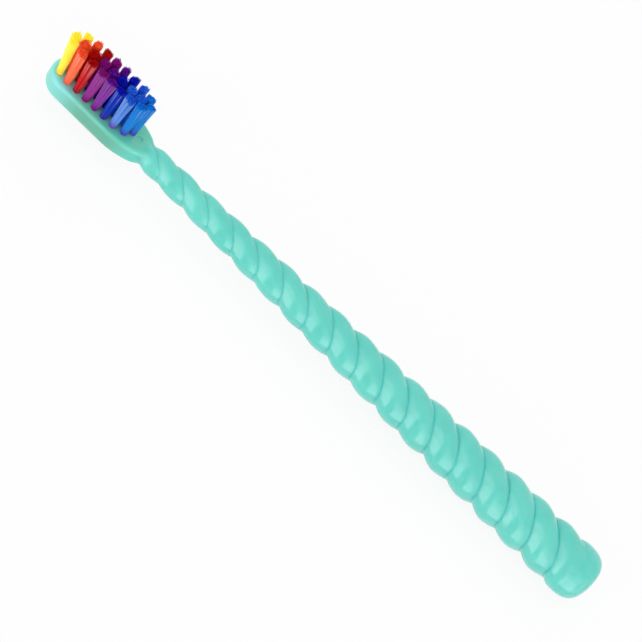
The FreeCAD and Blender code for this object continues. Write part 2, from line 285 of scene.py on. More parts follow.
class StudioSettings(bpy.types.PropertyGroup):
    """The camera, the floor and the lamps."""

    camera_rise: angle("How high the camera looks down from", 48.5)
    camera_roll: angle("How far the brush leans in the picture", 44.21)
    camera_distance: length("From the camera to the middle of the picture", 536.4)
    picture_x: length("Middle of the picture along the brush", -0.68)
    picture_n: length("Middle of the picture across the brush", 0.5)
    lens: FloatProperty(description="Focal length of the camera", default=132.3, unit="CAMERA")
    floor_size: length("Width of the floor", 4000.0)
    floor: colour("Colour of the floor", 244, 244, 244)
    shadow_share: share("How much of the floor's shading the camera sees", 0.11)
    sky: share("Strength of the light from all round", 0.78)
    strip_light: share("Brightness of the two upright soft boxes in front", 2.0)
    card_light: share("Brightness of the two cards that only reflections show", 0.8)
    wide_light: share("Brightness of the two wide soft boxes above them", 1.0)
    rear_light: share("Brightness of the soft box behind the brush", 0.38)


# The twist

def smooth(value):
    """A step with level ends: three times the square less twice the cube, held from 0 to 1."""
    held = np.clip(value, 0.0, 1.0)
    return held * held * (3.0 - 2.0 * held)


def places(m):
    """Named places along the brush: the neck, the first groove and the start of the dome."""
    neck = m.tip_x + m.head_length
    return neck, neck + m.first_groove, m.butt_x - m.dome_length


def groove_x(m, turn):
    """Place of a groove after a turn from the top: a steady advance, swayed by the sines of twice
    and four times the turn, so that it runs nearly straight across the top and the back."""
    sway = m.groove_sway * np.sin(2 * turn) - m.groove_trim * np.sin(4 * turn)
    return places(m)[1] + m.groove_spacing / np.pi * (turn + sway)


def crest_radius(m, x):
    """Radius over the crests: a cubic taper from the neck to the butt, drawn in by a parabola
    before the dome and by a smooth step towards the nose."""
    neck, _, dome = places(m)
    along = np.clip((x - neck) / (dome - neck), 0.0, 1.0)
    grown = smooth(along) + m.taper_start * along * (1 - along) ** 2
    grown -= m.taper_end * along ** 2 * (1 - along)
    radius = m.neck_radius + (m.butt_radius - m.neck_radius) * grown
    faded = np.maximum(0.0, 1 - (dome - x) / m.butt_fade)
    radius -= (m.butt_radius - m.butt_end_radius) * faded ** 2
    nose = smooth((x - groove_x(m, -np.pi) - m.nose_shift) / (m.nose_length - m.nose_shift))
    return m.nose_radius + (radius - m.nose_radius) * nose


def groove_depth(m, x):
    """Depth of the grooves: a smooth step from the neck to the butt, more and less in turn by a
    cosine of the place, faded out at both ends."""
    neck, first, dome = places(m)
    depth = m.neck_groove + (m.butt_groove - m.neck_groove) * smooth((x - neck) / (dome - neck))
    pace = (x - first) / m.groove_spacing - m.groove_phase
    depth = depth * (1 + m.groove_alternate * np.cos(np.pi * pace))
    depth = depth * smooth((dome - x) / m.butt_fade)
    nose_end = groove_x(m, -np.pi) + m.nose_length
    return depth * smooth(1 - (nose_end - x) / (m.nose_length * m.nose_groove))


def strand_radius(m, x, turn):
    """Radius of the twist: the crest less the groove's depth times the square of the way from the
    strand's middle to its groove, and less a narrow parabola at the groove itself, whose bottom is
    eased by a hyperbola."""
    across = (x - groove_x(m, turn)) / m.groove_spacing
    nearest = np.abs(across - np.round(across))
    eased = np.sqrt(nearest ** 2 + m.groove_round ** 2) - m.groove_round
    crevice = np.maximum(1 - eased * m.groove_spacing / (m.crevice_width / 2), 0.0) ** 2
    depth = groove_depth(m, x)
    crevice = crevice * m.crevice_depth * np.minimum(depth / m.neck_groove, 1.0)
    return crest_radius(m, x) - depth * (1 - 2 * eased) ** 2 - crevice


def groove_closeness(m, points):
    """How close points of the twist are to a groove: a bell curve of the distance along the brush,
    weaker towards the neck and where the grooves are shallow. The ring where the dome starts counts
    as a faint groove. The closeness places painted shade and added roughness in the grooves."""
    neck, _, dome = places(m)
    turn = np.arctan2(-points[:, 1], points[:, 2] - m.axis_z)
    across = (points[:, 0] - groove_x(m, turn)) / m.groove_spacing
    away = np.abs(across - np.round(across)) * m.groove_spacing / m.groove_tint
    strength = NECK_GROOVE_SHADE + (1 - NECK_GROOVE_SHADE) * smooth(2 * (points[:, 0] - neck) / (dome - neck))
    strength = strength * np.clip(groove_depth(m, points[:, 0]) / m.neck_groove, 0.0, 1.0)
    ring = m.dome_line * np.exp(-((points[:, 0] - dome) / m.groove_tint) ** 2)
    return np.maximum(np.exp(-away ** 2) * strength, ring)


# The head

def half_width(m, x, inset):
    """Half the head's width at x, drawn in by an inset: straight, then an arc towards the neck."""
    half, taper = m.head_width / 2, m.taper_length
    sweep = (taper ** 2 + half ** 2 - m.neck_end_radius ** 2) / (2 * (half - m.neck_end_radius))
    along = np.maximum(x - (m.tip_x + m.head_length - taper), 0.0)
    return half - sweep + np.sqrt(np.maximum((sweep - inset) ** 2 - along ** 2, 0.0))


def edge_inset(m, height):
    """How far the side draws in at a height over the axis: a quarter circle at the face's rim and
    a larger one at the back."""
    rim = np.clip(height - (m.face_rise - m.rim_radius), 0.0, m.rim_radius)
    bottom = m.face_rise - m.head_thickness
    back = np.clip(bottom + m.back_radius - height, 0.0, m.back_radius)
    return (m.rim_radius - np.sqrt(m.rim_radius ** 2 - rim ** 2)
            + m.back_radius - np.sqrt(m.back_radius ** 2 - back ** 2))


def blade_radius(m, x, turn):
    """Distance from the axis to the head's surface in one direction, found by halving."""
    shape = np.broadcast(x, turn).shape
    near, far = np.zeros(shape), np.full(shape, m.head_width)
    for _ in range(HALVINGS):
        middle = (near + far) / 2
        height = middle * np.cos(turn)
        inside = (height < m.face_rise) & (height > m.face_rise - m.head_thickness)
        inside &= np.abs(middle * np.sin(turn)) < half_width(m, x, edge_inset(m, height))
        near, far = np.where(inside, middle, near), np.where(inside, far, middle)
    return near


def filleted(first, second, width):
    """The larger of two radii, with a parabola of this width where they cross."""
    close = np.maximum(width - np.abs(first - second), 0.0) / width
    return np.maximum(first, second) + close ** 2 * width / 4


def head_section(m):
    """The head's cross-section as a ring: the reach from the middle and the height over the axis.

    It goes from the middle of the face over the rim, the side and the back's rounding to the
    middle of the back, on the near side, and home the same way on the far side.
    """
    half, top, bottom = m.head_width / 2, m.face_rise, m.face_rise - m.head_thickness
    face = np.linspace(0, half - m.rim_radius, FACE_COLUMNS, endpoint=False)
    rim = np.linspace(0, np.pi / 2, RIM_COLUMNS, endpoint=False)
    wall = np.linspace(top - m.rim_radius, bottom + m.back_radius, WALL_COLUMNS, endpoint=False)
    back = np.linspace(0, np.pi / 2, BACK_COLUMNS, endpoint=False)
    rear = np.linspace(half - m.back_radius, 0, REAR_COLUMNS + 1)
    reach = np.concatenate((
        face, half - m.rim_radius * (1 - np.sin(rim)), np.full(WALL_COLUMNS, half),
        half - m.back_radius * (1 - np.cos(back)), rear))
    height = np.concatenate((
        np.full(FACE_COLUMNS, top), top - m.rim_radius * (1 - np.cos(rim)), wall,
        bottom + m.back_radius * (1 - np.sin(back)), np.full(REAR_COLUMNS + 1, bottom)))
    reach = np.concatenate((-reach, reach[-2:0:-1]))
    return reach, np.concatenate((height, height[-2:0:-1]))


def head_rows(m):
    """Rows of the tip and the blade: the section turned about the tip's centre, then pushed along."""
    reach, height = head_section(m)
    centre = m.tip_x + m.head_width / 2
    fan = np.linspace(0, np.pi / 2, TIP_ROWS)[:, None]
    tip = np.stack(np.broadcast_arrays(centre - np.abs(reach) * np.cos(fan), reach * np.sin(fan),
                                       m.axis_z + height), axis=-1)
    blade_end = m.tip_x + m.head_length - m.taper_length
    x = np.linspace(centre, blade_end, BLADE_ROWS + 1)[1:, None]
    blade = np.stack(np.broadcast_arrays(x, reach, m.axis_z + height), axis=-1)
    return tip, blade


def round_rows(m, x, turn, radius):
    """Points from places along the axis, turns from the top towards the near side, and radii."""
    return np.stack(np.broadcast_arrays(x, -radius * np.sin(turn), m.axis_z + radius * np.cos(turn)),
                    axis=-1)


def moulding_rows(m):
    """All rows of the moulding, from the tip to the flat on the butt.

    Along the twist each column keeps its place between two grooves, and the columns crowd towards
    the grooves by a cosine. Over the neck the columns pass from the head's directions to these.
    """
    _, first, dome = places(m)
    reach, height = head_section(m)
    even = np.linspace(0, 1, HALF_COLUMNS, endpoint=False)
    crowded = np.pi * (CROWDING * (1 - np.cos(np.pi * even)) / 2 + (1 - CROWDING) * even)
    columns = np.concatenate((crowded, crowded + np.pi))

    blade_end = m.tip_x + m.head_length - m.taper_length
    x = np.linspace(blade_end, first, NECK_ROWS + 1)[1:, None]
    narrowing = half_width(m, x, 0.0) / (m.head_width / 2)
    head_turn = np.mod(np.arctan2(-reach * narrowing, height), 2 * np.pi)
    passage = m.first_groove * NECK_PASS
    passed = smooth((x - (first - passage)) / passage)
    turn = head_turn + passed * (columns - head_turn)
    blade = blade_radius(m, x, turn) * (1 - BLADE_SHRINK * passed ** 2)
    neck = round_rows(m, x, turn, filleted(blade, strand_radius(m, x, turn), m.blend))

    turns = np.linspace(0, np.pi * TABLE_TURNS, TABLE_TURNS * TABLE_POINTS)
    last = np.interp(dome, groove_x(m, turns), turns)
    count = round(last / np.pi * ROWS_PER_GROOVE)
    pace = np.linspace(0, last, count + 1)[1:, None]
    x = groove_x(m, pace)
    twist = round_rows(m, x, pace + columns, strand_radius(m, x, pace + columns))

    end = np.arccos(m.gate_radius / m.butt_end_radius)
    lift = np.linspace(m.dome_crease, end, DOME_ROWS + 1)[1:, None]
    start = np.sin(m.dome_crease)
    x = dome + m.dome_length * ((np.sin(lift) - start) / (np.sin(end) - start)) ** m.dome_fullness
    radius = m.butt_end_radius * (np.cos(lift) / np.cos(m.dome_crease)) ** m.dome_fullness
    dome_part = round_rows(m, x, last + columns, radius)
    return np.concatenate((*head_rows(m), neck, twist, dome_part))


# Mesh helpers

def ring_faces(rows, columns):
    """Corner indices of the quads between closed rings."""
    index = np.arange(rows * columns).reshape(rows, columns)
    ahead = np.roll(index, -1, axis=1)
    return np.stack((index[:-1], ahead[:-1], ahead[1:], index[1:]), axis=-1).reshape(-1, 4)


def new_piece(name, mesh, material):
    """An object at the origin with this mesh and material."""
    piece = bpy.data.objects.new(name, mesh)
    bpy.context.scene.collection.objects.link(piece)
    mesh.materials.clear()
    mesh.materials.append(material)
    return piece


def welded_mesh(name, points, faces):
    """A mesh whose coinciding points are merged and whose faces look outwards."""
    mesh = bpy.data.meshes.new(name)
    mesh.from_pydata(points.reshape(-1, 3), [], faces)
    shape = bmesh.new()
    shape.from_mesh(mesh)
    bmesh.ops.remove_doubles(shape, verts=shape.verts, dist=WELD)
    bmesh.ops.recalc_face_normals(shape, faces=shape.faces)
    shape.to_mesh(mesh)
    shape.free()
    return mesh


def mesh_points(mesh):
    """The points of a mesh as an array."""
    points = np.empty(len(mesh.vertices) * 3, np.float32)
    mesh.vertices.foreach_get("co", points)
    return points.reshape(-1, 3).astype(float)


def set_attribute(mesh, label, values):
    """Gives the points of a mesh a named value each."""
    layer = mesh.attributes.new(label, "FLOAT", "POINT")
    layer.data.foreach_set("value", values.astype(np.float32))


def tuft_ends(node):
    """The middles of a tuft's flat root and of its trimmed top."""
    points = mesh_points(frame["nodes"][node].data)
    height = points[:, 2]
    root = points[height < height.min() + LEVEL]
    crown = points[height > height.max() - LEVEL]
    return (root.min(0) + root.max(0)) / 2, (crown.min(0) + crown.max(0)) / 2


def bore_cutter(m):
    """Round plugs for the tuft holes and the ejector mark: circles carried from below to above the
    face, closed by flat ends."""
    face = m.axis_z + m.face_rise
    centres = np.array([tuft_ends(node)[0] for node in TUFT_NODES])
    ejector = [m.tip_x + m.head_length - m.ejector_setback, 0.0, face - m.ejector_depth]
    centres = np.vstack((centres, ejector))
    radius = np.append(np.full(len(TUFT_NODES), m.hole_radius), m.ejector_radius)[:, None, None]
    round_turn = np.linspace(0, 2 * np.pi, HOLE_SIDES, endpoint=False)[None, None, :]
    height = np.stack((centres[:, 2], np.full(len(centres), face + m.rim_radius)), axis=1)[:, :, None]
    points = np.stack(np.broadcast_arrays(
        centres[:, 0, None, None] + radius * np.cos(round_turn),
        centres[:, 1, None, None] + radius * np.sin(round_turn), height), axis=-1)
    index = np.arange(points.size // 3).reshape(len(centres), 2, HOLE_SIDES)
    ahead = np.roll(index, -1, axis=2)
    walls = np.stack((index[:, 0], ahead[:, 0], ahead[:, 1], index[:, 1]), axis=-1).reshape(-1, 4)
    ends = np.concatenate((index[:, 0, ::-1], index[:, 1]))
    return welded_mesh("bores", points, walls.tolist() + ends.tolist())


def bored(mesh, cutter):
    """The mesh with the cutter's plugs taken out of it."""
    blank = bpy.data.objects.new("blank", mesh)
    plugs = bpy.data.objects.new("plugs", cutter)
    for thing in (blank, plugs):
        bpy.context.scene.collection.objects.link(thing)
    cut = blank.modifiers.new("bores", "BOOLEAN")
    cut.object, cut.operation, cut.solver = plugs, "DIFFERENCE", "EXACT"
    done = bpy.data.meshes.new_from_object(blank.evaluated_get(bpy.context.evaluated_depsgraph_get()))
    for thing in (blank, plugs):
        bpy.data.objects.remove(thing)
    return done


# Node helpers

def add(tree, kind, inputs=(), **settings):
    """A node with its settings, and its inputs set to values or tied to other sockets."""
    node = tree.nodes.new(kind)
    for name, value in settings.items():
        setattr(node, name, value)
    for name, value in dict(inputs).items():
        if isinstance(value, bpy.types.NodeSocket):
            tree.links.new(value, node.inputs[name])
        else:
            node.inputs[name].default_value = value
    return node


def opaque(rgb):
    """A colour with full alpha."""
    return (*rgb, 1.0)


def blend_colour(tree, factor, first, second):
    """A mix of two colours; each is a socket or a plain colour, and the factor a socket or a number."""
    node = add(tree, "ShaderNodeMix", data_type="RGBA")
    for socket, value in ((node.inputs[0], factor), (node.inputs[6], first), (node.inputs[7], second)):
        if isinstance(value, bpy.types.NodeSocket):
            tree.links.new(value, socket)
        else:
            socket.default_value = value if isinstance(value, float) else opaque(value)
    return node.outputs[2]


def ranged(tree, value, low, high, to_low=0.0, to_high=1.0):
    """A value carried from one range to another with a smooth step."""
    node = add(tree, "ShaderNodeMapRange", {"Value": value, "From Min": low, "From Max": high,
                                            "To Min": to_low, "To Max": to_high},
               interpolation_type="SMOOTHSTEP")
    return node.outputs["Result"]


def combined(tree, operation, first, second):
    """One value from two: their sum, their product or the larger one."""
    return add(tree, "ShaderNodeMath", {0: first, 1: second}, operation=operation).outputs[0]


def attribute(tree, name):
    """The value that the mesh's points carry under this name."""
    return add(tree, "ShaderNodeAttribute", attribute_name=name).outputs["Fac"]


def new_group(name, inputs, outputs):
    """An empty shader node group with named sockets, given as name and kind."""
    group = bpy.data.node_groups.new(name, "ShaderNodeTree")
    for (label, kind), side in [(s, "INPUT") for s in inputs] + [(s, "OUTPUT") for s in outputs]:
        group.interface.new_socket(label, in_out=side, socket_type=kind)
    return group, add(group, "NodeGroupInput").outputs, add(group, "NodeGroupOutput").inputs


def surface_grain():
    """Fine unevenness of a moulded or drawn surface: a broad cloud and a fine grain of noise."""
    group, given, made = new_group(
        "surface_grain", [("Cloud Scale", "NodeSocketFloat"), ("Grain Scale", "NodeSocketFloat")],
        [("Cloud", "NodeSocketFloat"), ("Grain", "NodeSocketFloat")])
    where = add(group, "ShaderNodeTexCoord").outputs["Object"]
    for label in ("Cloud", "Grain"):
        noise = add(group, "ShaderNodeTexNoise", {"Vector": where, "Scale": given[f"{label} Scale"],
                                                  "Detail": 3.0, "Roughness": 0.55})
        group.links.new(noise.outputs["Fac"], made[label])
    return group


def filament_dye_and_painted_light():
    """Dye of a filament from its root by the face, along its side, to its cut end, with painted shade at
    the root and inside the tufts, a painted sheen on its sides and a painted glow where light would pass
    through.
    """
    group, given, made = new_group(
        "filament_dye_and_painted_light",
        [("Root", "NodeSocketColor"), ("Side", "NodeSocketColor"), ("End", "NodeSocketColor")],
        [("Color", "NodeSocketColor"), ("Streak", "NodeSocketFloat"), ("Painted Glow", "NodeSocketFloat")])
    along, tint, shade = (attribute(group, name) for name in ("along", "tint", "shade"))
    # The root's colour passes into the side's, and some filaments are paler higher up with a painted
    # sheen.
    lower = blend_colour(group, ranged(group, along, 0.0, 0.3), given["Root"], given["Side"])
    pale = combined(group, "MULTIPLY", ranged(group, along, 0.4, 0.95, 0.05, 0.4),
                    ranged(group, tint, 0.5, 1.0))
    light = blend_colour(group, 0.5, given["Side"], WHITE)
    with_painted_sheen = blend_colour(group, pale, lower, light)
    # Other filaments are deeper at random, and those inside the tufts get the cut ends' colour as painted
    # shade.
    deep = blend_colour(group, ranged(group, tint, 0.45, 0.0, 0.0, 0.35), with_painted_sheen, given["End"])
    inner_shaded = blend_colour(group, ranged(group, shade, 0.0, 1.0, 0.0, 0.9), deep, given["End"])
    # Some cut ends are deeper by the dye's own colour.
    dense = add(group, "ShaderNodeMix", {0: 1.0, 6: given["End"], 7: given["End"]}, data_type="RGBA",
                blend_type="MULTIPLY")
    cut = blend_colour(group, ranged(group, tint, 0.35, 1.0), given["End"], dense.outputs[2])
    group.links.new(blend_colour(group, ranged(group, along, 0.97, 1.0), inner_shaded, cut), made["Color"])
    group.links.new(tint, made["Streak"])
    # A painted glow, emission in the filament's colour, stands for light that passes through the outer
    # filaments, but not through their cut ends or the shaded ones inside.
    clear = combined(group, "MULTIPLY", ranged(group, shade, 0.0, 1.0, 1.0, 0.0),
                     ranged(group, along, 0.9, 1.0, 1.0, 0.0))
    group.links.new(clear, made["Painted Glow"])
    return group


def shared(tree, maker, values):
    """A node of a shared group, made the first time that it is asked for, with its inputs set."""
    group = bpy.data.node_groups.get(maker.__name__) or maker()
    return add(tree, "ShaderNodeGroup", values, node_tree=group).outputs


def set_shader(body, links, values):
    """Ties sockets of a shader to what varies over the surface, and sets others to one value."""
    for name, socket in links.items():
        body.id_data.links.new(socket, body.inputs[name])
    for name, value in values.items():
        body.inputs[name].default_value = value


def new_material(name, shader="ShaderNodeBsdfPrincipled"):
    """A material with one shader on its output."""
    material = bpy.data.materials.new(name)
    material.use_nodes = True
    tree = material.node_tree
    tree.nodes.clear()
    body = add(tree, shader)
    output = add(tree, "ShaderNodeOutputMaterial")
    tree.links.new(body.outputs[0], output.inputs["Surface"])
    return material, tree, body


def mint_plastic(m):
    """Glossy mint plastic that light soaks into, with clouded dye and a faint moulded grain. Along
    the brush it passes from a painted pale reflection at the tip over the head, where painted shade
    stands for the tufts dimming its side, back and face by the neck and a painted lighter tone lies
    on its face among the tufts, to the handle, and it is duller and deeper with painted shade in the
    grooves and at the ring where the dome starts."""
    material, tree, body = new_material("mint_plastic")
    where = add(tree, "ShaderNodeTexCoord").outputs["Object"]
    split = add(tree, "ShaderNodeSeparateXYZ", {"Vector": where}).outputs
    along, height = split["X"], split["Z"]
    face, neck = m.axis_z + m.face_rise, m.tip_x + m.head_length
    near_neck, groove = neck - m.ejector_setback, neck + m.first_groove
    noise = shared(tree, surface_grain, PLASTIC_NOISE)
    close = attribute(tree, "groove")

    handle = blend_colour(tree, ranged(tree, noise["Cloud"], 0.35, 0.65), m.deep_mint, m.mint)
    # Painted light and shade on the head: a reflection at the tip, a lighter face among the tufts, and
    # shade from the tufts by the neck and on the side and back.
    tip_reflection_share = ranged(tree, along, *(m.tip_x + m.head_width * widths for widths in TIP_REFLECTION_FADE))
    front = blend_colour(tree, ranged(tree, along, m.tip_x + m.head_width, near_neck),
                         m.face_mint, m.neck_mint)
    front = blend_colour(tree, tip_reflection_share, m.tip_face_mint, front)
    side = blend_colour(tree, ranged(tree, along, neck - m.taper_length, neck), m.head_mint, handle)
    side = blend_colour(tree, tip_reflection_share, m.tip_mint, side)
    head = blend_colour(tree, ranged(tree, height, face - m.rim_radius, face), side, front)
    # Painted shade: a deeper colour in the grooves and at the ring where the dome starts.
    twist = blend_colour(tree, close, handle, m.groove_mint)
    whole = blend_colour(tree, ranged(tree, along, near_neck, groove), head, twist)

    gloss = ranged(tree, noise["Cloud"], 0.3, 0.7, m.gloss, m.gloss + m.cloud_matt)
    matt = combined(tree, "MAXIMUM", ranged(tree, along, neck - m.taper_length, groove, m.head_matt, 0.0),
                    ranged(tree, close, 0.0, 0.5, 0.0, m.groove_matt))
    bump = add(tree, "ShaderNodeBump", {"Height": noise["Grain"], "Strength": m.grain_strength,
                                        "Distance": m.grain_height})
    set_shader(body, {"Base Color": whole, "Roughness": combined(tree, "ADD", gloss, matt),
                      "Normal": bump.outputs["Normal"]},
               {"Subsurface Weight": m.soak, "Subsurface Radius": m.glow_tint, "Subsurface Scale": m.glow,
                "IOR": PLASTIC_INDEX})
    return material


def dyed_filament(t, hue):
    """Semi-clear dyed filament: paler along its sides with a painted sheen, deep at its cut end, shaded
    by the face and inside the tufts with painted shade, and with a painted glow.
    """
    material, tree, body = new_material(f"filament_{hue}")
    dyed = shared(tree, filament_dye_and_painted_light, {
        place.capitalize(): opaque(getattr(t, f"{hue}_{place}")) for place in ("root", "side", "end")})
    least_glow = t.clearness * np.dot(getattr(t, f"{hue}_end"), DYE_GLOW_WEIGHTS)
    glow_share = ranged(tree, dyed["Painted Glow"], 0.0, 1.0, least_glow, t.clearness)
    set_shader(body, {"Base Color": dyed["Color"],
                      "Roughness": ranged(tree, dyed["Streak"], 0.0, 1.0, t.matt, t.matt + t.streak_matt),
                      "Emission Color": blend_colour(tree, glow_share, BLACK, dyed["Color"])},
               {"Emission Strength": 1.0, "IOR": PLASTIC_INDEX, "Specular IOR Level": t.shine,
                "Subsurface Weight": t.soak, "Subsurface Radius": (1.0, 1.0, 1.0),
                "Subsurface Scale": t.soak_depth})
    return material


def bright_brass(t):
    """Flat brass wire with fine drawing grain."""
    material, tree, body = new_material("bright_brass")
    noise = shared(tree, surface_grain, BRASS_NOISE)
    shade = blend_colour(tree, noise["Cloud"], t.brass, t.dull_brass)
    dull = ranged(tree, noise["Grain"], 0.3, 0.7, *BRASS_ROUGHNESS)
    set_shader(body, {"Base Color": shade, "Roughness": dull}, {"Metallic": 1.0})
    return material


# The tufts

def filament_paths(t, m, root, crown, spread, draw):
    """Centre lines and radii of a tuft's filament arms, and how far along each point is.

    Seeds on a golden-angle spiral fill half the hole, and each stands for a filament that is folded
    round the plate, so its two arms mirror each other. An arm starts under the plate, rises on one
    side of it, leaves the hole and spreads by a power of its height to the trimmed top.
    """
    seed = np.arange(2 * t.pairs) + 0.5
    spiral = np.sqrt(seed / (2 * t.pairs)) * np.exp(1j * seed * np.pi * (3 - math.sqrt(5)))
    half = spiral[np.argsort(spiral.imag)[t.pairs:]]
    spot = np.concatenate((half, half.conj()))
    side = np.sign(spot.imag)
    reach = m.hole_radius - t.filament_radius
    face = m.axis_z + m.face_rise
    plate_gap = t.plate_thickness / 2 + t.filament_radius
    in_line = HOLE_FILL * reach * spot.real
    beside = side * (plate_gap + np.abs(spot.imag) * (reach - plate_gap) * HOLE_FILL)
    layer = root[2] + t.filament_radius + (1 - np.abs(spot.imag)) * t.fold_height / 2

    scatter = draw.uniform(-1, 1, (4, spot.size))
    phase = draw.uniform(0, 2 * np.pi, 3)
    turn = np.angle(spot)
    uneven = 1 + t.unevenness * (np.cos(2 * turn + phase[0]) + np.cos(3 * turn + phase[1])) / 2
    flared = (spread - t.filament_radius) * spot * uneven
    top_x = crown[0] + flared.real + t.bow * scatter[0]
    top_y = crown[1] + flared.imag + t.bow * scatter[1]
    slant = t.trim_slant * (1 + np.abs(spot) * np.cos(turn - phase[2])) / 2
    top_z = crown[2] - slant - t.trim_round * np.abs(spot) ** 4 - t.trim_scatter * np.abs(scatter[2])
    level = np.ones(spot.size)
    plate_foot = root[2] + t.fold_height
    in_hole = np.array((
        (in_line, 0 * side, layer),
        (in_line, FOLD_FILL * beside, layer),
        (in_line, beside, plate_foot * level),
        (in_line, beside, (plate_foot + t.plate_height) * level),
        (reach * spot.real, reach * spot.imag, face * level)))
    in_hole[:, :2] += root[:2, None]
    share_up = np.array(RING_HEIGHTS)[:, None]
    spreading = share_up ** SPREAD_POWER
    bowed = t.bow * scatter[3] * np.sin(np.pi * share_up)
    above = np.stack((
        in_hole[-1, 0] + spreading * (top_x - in_hole[-1, 0]) + bowed,
        in_hole[-1, 1] + spreading * (top_y - in_hole[-1, 1]) + bowed * side,
        face + share_up * (top_z - face)), axis=1)
    path = np.concatenate((in_hole, above)).transpose(2, 0, 1)
    radius = np.full(path.shape[:2], t.filament_radius)
    radius[:, -1] *= CUT_WIDTH
    along = np.broadcast_to(np.append(np.zeros(len(in_hole)), share_up), radius.shape)
    return path, radius, along, np.abs(spot)


def field_shade(t, points, spine):
    """How far inside the field of tufts points are: 1 less a smooth step of the distance from the
    line along the field's middle, from half of the field's lit edge to all of it."""
    beyond = np.maximum(np.maximum(spine[0] - points[..., 0], points[..., 0] - spine[1]), 0.0)
    reach = np.hypot(beyond, points[..., 1])
    return 1 - smooth(2 * reach / t.field_edge - 1)


def filament_bundle(name, path, radius, attributes):
    """A mesh of round filaments: a ring of points square to each path at each of its points."""
    heading = np.gradient(path, axis=1)
    heading /= np.linalg.norm(heading, axis=2, keepdims=True)
    across = np.array((1.0, 0.0, 0.0)) - heading[..., :1] * heading
    across /= np.linalg.norm(across, axis=2, keepdims=True)
    beyond = np.cross(heading, across)
    turn = np.linspace(0, 2 * np.pi, FILAMENT_SIDES, endpoint=False)[:, None]
    ring = np.cos(turn) * across[:, :, None] + np.sin(turn) * beyond[:, :, None]
    points = path[:, :, None] + radius[..., None, None] * ring
    arms, levels = radius.shape
    index = np.arange(arms * levels * FILAMENT_SIDES).reshape(arms, levels, FILAMENT_SIDES)
    ahead = np.roll(index, -1, axis=2)
    walls = np.stack((index[:, :-1], ahead[:, :-1], ahead[:, 1:], index[:, 1:]), axis=-1).reshape(-1, 4)
    ends = np.concatenate((index[:, 0, ::-1], index[:, -1]))
    mesh = bpy.data.meshes.new(name)
    mesh.from_pydata(points.reshape(-1, 3), [], walls.tolist() + ends.tolist())
    mesh.polygons.foreach_set("use_smooth", np.arange(len(walls) + len(ends)) < len(walls))
    for label, values in attributes.items():
        spread = np.repeat(np.broadcast_to(values, radius.shape).ravel(), FILAMENT_SIDES)
        set_attribute(mesh, label, spread)
    mesh.update()
    return mesh


# Operators

class TOOTHBRUSH_OT_moulding(bpy.types.Operator):
    """Make the moulding: the head with its holes, the neck and the twisted handle"""

    bl_idname = "toothbrush.moulding"
    bl_label = "Moulding"

    def execute(self, context):
        m = context.scene.toothbrush_moulding
        rows = moulding_rows(m)
        faces = ring_faces(*rows.shape[:2]).tolist()
        last_ring = np.arange(rows.shape[0] * rows.shape[1])[-rows.shape[1]:]
        blank = welded_mesh("moulding", rows, faces + [last_ring.tolist()])
        mesh = bored(blank, bore_cutter(m))
        mesh.polygons.foreach_set("use_smooth", np.ones(len(mesh.polygons), bool))
        mesh.set_sharp_from_angle(angle=SHARP)
        # The closeness to the grooves places their painted shade and added roughness.
        set_attribute(mesh, "groove", groove_closeness(m, mesh_points(mesh)))
        piece = new_piece("handle_moulding", mesh, mint_plastic(m))
        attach(piece, "root")
        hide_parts("handle_body")
        return {"FINISHED"}


class TOOTHBRUSH_OT_tufts(bpy.types.Operator):
    """Make the tufts: bundles of dyed filaments folded into their holes"""

    bl_idname = "toothbrush.tufts"
    bl_label = "Tufts"

    def execute(self, context):
        t = context.scene.toothbrush_tufts
        m = context.scene.toothbrush_moulding
        dyes = {hue: dyed_filament(t, hue) for hue in HUES}
        roots = [tuft_ends(node)[0][0] for node in TUFT_NODES]
        spine = min(roots) + t.field_edge, max(roots) - t.field_edge
        middle, reach = sum(spine) / 2, (spine[1] - spine[0]) / 2 + END_REACH * t.spread
        for number, node in enumerate(TUFT_NODES):
            draw = np.random.default_rng(number)
            root, crown = tuft_ends(node)
            outer = node.startswith("tuft_far") or abs(crown[0] - middle) > reach
            spread = t.far_spread if outer else t.spread
            path, radius, along, outward = filament_paths(t, m, root, crown, spread, draw)
            core = 1 - smooth((outward - CORE) / CORE_EDGE)[:, None]
            mesh = filament_bundle(f"{node}_filaments", path, radius, {
                "along": along, "tint": draw.uniform(0, 1, (len(path), 1)),
                "shade": np.maximum(field_shade(t, path, spine), core)})
            hue = SLOTS[node].removeprefix("bristle_")
            piece = new_piece(f"{node}_filaments", mesh, dyes[hue])
            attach(piece, "root")
            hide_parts(node)
        return {"FINISHED"}


class TOOTHBRUSH_OT_anchor_plates(bpy.types.Operator):
    """Give the anchor plates their metal"""

    bl_idname = "toothbrush.anchor_plates"
    bl_label = "Anchor plates"

    def execute(self, context):
        plates = frame["nodes"]["anchor_plates"]
        plates.data.materials.clear()
        plates.data.materials.append(bright_brass(context.scene.toothbrush_tufts))
        return {"FINISHED"}


def soft_box(name, bearing, rise, size, brightness, lights, shows):
    """A rectangular lamp that looks at the brush from a bearing, counted from the near side towards
    the butt, and a rise, all in degrees; its size is the angle that it fills, and its brightness is
    the light per area. One that doesn't light is only seen in reflections, and one that doesn't
    show isn't seen in them."""
    bearing, rise = math.radians(bearing), math.radians(rise)
    towards = Vector((math.sin(bearing) * math.cos(rise), -math.cos(bearing) * math.cos(rise),
                      math.sin(rise)))
    lamp = bpy.data.lights.new(name, "AREA")
    lamp.shape = "RECTANGLE"
    lamp.size, lamp.size_y = (2 * LAMP_DISTANCE * math.tan(math.radians(side) / 2) for side in size)
    lamp.energy = brightness * math.pi * lamp.size * lamp.size_y
    thing = bpy.data.objects.new(name, lamp)
    bpy.context.scene.collection.objects.link(thing)
    thing.visible_diffuse, thing.visible_glossy = lights, shows
    thing.location = towards * LAMP_DISTANCE
    thing.rotation_euler = (-towards).to_track_quat("-Z", "Y").to_euler()


